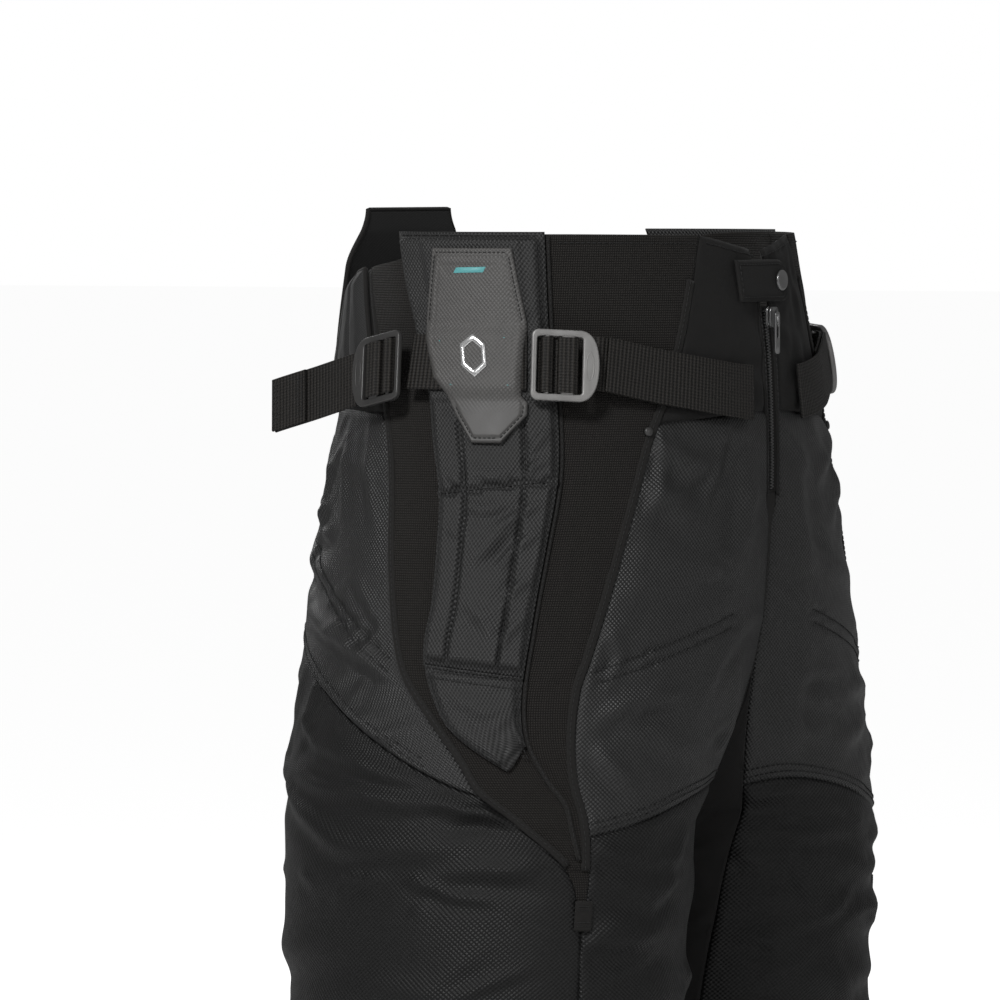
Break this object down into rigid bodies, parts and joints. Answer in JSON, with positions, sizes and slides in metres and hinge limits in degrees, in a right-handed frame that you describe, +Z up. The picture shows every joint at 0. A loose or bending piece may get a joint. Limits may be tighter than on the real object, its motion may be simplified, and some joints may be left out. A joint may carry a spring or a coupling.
{
  "type": "padded hockey pants",
  "caption": "Knee-length padded ice-hockey pants with quilted hip pads, rubber hip badges, ladder-lock strap adjusters and a zip fly, standing on their hems.",
  "frame": {"origin": "on the floor under the crotch, in the middle between the two hems", "axes": "+Z up to the waist, -Y to the wearer's front where the fly is, -X to the wearer's right"},
  "size_m": [0.4252, 0.2607, 0.552],
  "materials": {
    "shell_nylon": "smooth woven nylon with a slight sheen",
    "ballistic_nylon": "coarse ballistic weave",
    "stretch_weave": "matt elastic grid weave",
    "twill": "matt twill",
    "pad_mesh": "coarse mesh over foam, quilted",
    "foam": "closed-cell foam",
    "guard_plastic": "thin moulded sheet",
    "liner_knit": "soft knit lining",
    "webbing": "ribbed woven webbing",
    "buckle_plastic": "satin silver-grey moulding",
    "badge_rubber": "soft moulded rubber with a fine diamond texture",
    "pad_knit": "knit over moulded foam",
    "zip_metal": "dark coated metal"
  },
  "bodies": {
    "pants": {"fly_zip": "twill", "front_anchor_strap_left": "webbing", "front_anchor_strap_right": "webbing", "front_knee_panel_left": "ballistic_nylon", "front_knee_panel_right": "ballistic_nylon", "front_thigh_panel_left": "shell_nylon", "front_thigh_panel_right": "shell_nylon", "front_waist_panel_left": "twill", "front_waist_panel_right": "twill", "hem_band_left": "twill", "hem_band_right": "twill", "hip_badge_left": "badge_rubber", "hip_badge_right": "badge_rubber", "hip_guard_plate_left": "guard_plastic", "hip_guard_plate_right": "guard_plastic", "hip_pad_cover_left": "pad_mesh", "hip_pad_cover_right": "pad_mesh", "hip_pad_tip_left": "pad_mesh", "hip_pad_tip_right": "pad_mesh", "inner_leg_panel_left": "twill", "inner_leg_panel_right": "twill", "keeper_webbing_left": "webbing", "keeper_webbing_right": "webbing", "kidney_pad_left": "pad_knit", "kidney_pad_right": "pad_knit", "liner_left": "liner_knit", "liner_right": "liner_knit", "rear_anchor_strap_left": "webbing", "rear_anchor_strap_right": "webbing", "rear_leg_panel_left": "ballistic_nylon", "rear_leg_panel_right": "ballistic_nylon", "rear_seat_panel_left": "shell_nylon", "rear_seat_panel_right": "shell_nylon", "rear_waist_panel_left": "twill", "rear_waist_panel_right": "twill", "side_stretch_front_left": "stretch_weave", "side_stretch_front_right": "stretch_weave", "side_stretch_rear_left": "stretch_weave", "side_stretch_rear_right": "stretch_weave", "spine_guard": "pad_knit", "thigh_guard_foam_left": "foam", "thigh_guard_foam_right": "foam", "thigh_guard_plate_left": "guard_plastic", "thigh_guard_plate_right": "guard_plastic"},
    "front_buckle_right": {"front_buckle_right": "buckle_plastic", "front_strap_loops_right": "webbing"},
    "rear_buckle_right": {"rear_buckle_right": "buckle_plastic", "rear_strap_loops_right": "webbing"},
    "front_tail_right": {"front_tail_strap_right": "webbing"},
    "rear_tail_right": {"rear_tail_strap_right": "webbing"},
    "front_buckle_left": {"front_buckle_left": "buckle_plastic", "front_strap_loops_left": "webbing"},
    "rear_buckle_left": {"rear_buckle_left": "buckle_plastic", "rear_strap_loops_left": "webbing"},
    "front_tail_left": {"front_tail_strap_left": "webbing"},
    "rear_tail_left": {"rear_tail_strap_left": "webbing"},
    "zip_slider": {"zip_slider": "zip_metal"},
    "zip_pull": {"zip_pull": "zip_metal"},
    "waist_tab": {"waist_tab": "twill", "snap_cap": "zip_metal"}
  },
  "joints": [
    {"name": "front_buckle_right_tilt", "type": "hinge", "parent": "pants", "child": "front_buckle_right", "pos_m": [-0.15591, -0.06594, 0.46537], "axis": [-0.1853, -0.0756, -0.9798], "range_deg": [0, 30]},
    {"name": "front_tail_right_lift", "type": "hinge", "parent": "front_buckle_right", "child": "front_tail_right", "pos_m": [-0.1263, -0.09235, 0.46248], "axis": [-0.1853, -0.0756, -0.9798], "range_deg": [0, 60]},
    {"name": "rear_buckle_right_tilt", "type": "hinge", "parent": "pants", "child": "rear_buckle_right", "pos_m": [-0.17256, 0.02776, 0.46393], "axis": [0.2723, 0.118, 0.9549], "range_deg": [0, 45]},
    {"name": "rear_tail_right_swing", "type": "hinge", "parent": "rear_buckle_right", "child": "rear_tail_right", "pos_m": [-0.16167, 0.05592, 0.45622], "axis": [0.2862, 0.1672, 0.9435], "range_deg": [-8, 50]},
    {"name": "front_buckle_left_tilt", "type": "hinge", "parent": "pants", "child": "front_buckle_left", "pos_m": [0.15591, -0.06594, 0.46537], "axis": [-0.1853, 0.0756, 0.9798], "range_deg": [0, 30]},
    {"name": "front_tail_left_lift", "type": "hinge", "parent": "front_buckle_left", "child": "front_tail_left", "pos_m": [0.1263, -0.09235, 0.46248], "axis": [-0.1853, 0.0756, 0.9798], "range_deg": [0, 60]},
    {"name": "rear_buckle_left_tilt", "type": "hinge", "parent": "pants", "child": "rear_buckle_left", "pos_m": [0.17256, 0.02776, 0.46393], "axis": [0.2723, -0.118, -0.9549], "range_deg": [0, 45]},
    {"name": "rear_tail_left_swing", "type": "hinge", "parent": "rear_buckle_left", "child": "rear_tail_left", "pos_m": [0.16167, 0.05592, 0.45622], "axis": [0.2862, -0.1672, -0.9435], "range_deg": [-8, 50]},
    {"name": "zip_slide", "type": "slide", "parent": "pants", "child": "zip_slider", "axis": [0, -0.03, -0.9995], "range_m": [0, 0.092]},
    {"name": "zip_pull_flip", "type": "hinge", "parent": "zip_slider", "child": "zip_pull", "pos_m": [0, -0.12865, 0.493], "axis": [-1, 0, 0], "range_deg": [0, 150]},
    {"name": "waist_tab_open", "type": "hinge", "parent": "pants", "child": "waist_tab", "pos_m": [-0.03, -0.1199, 0.512], "axis": [0, 0, -1], "range_deg": [0, 80]}
  ]
}
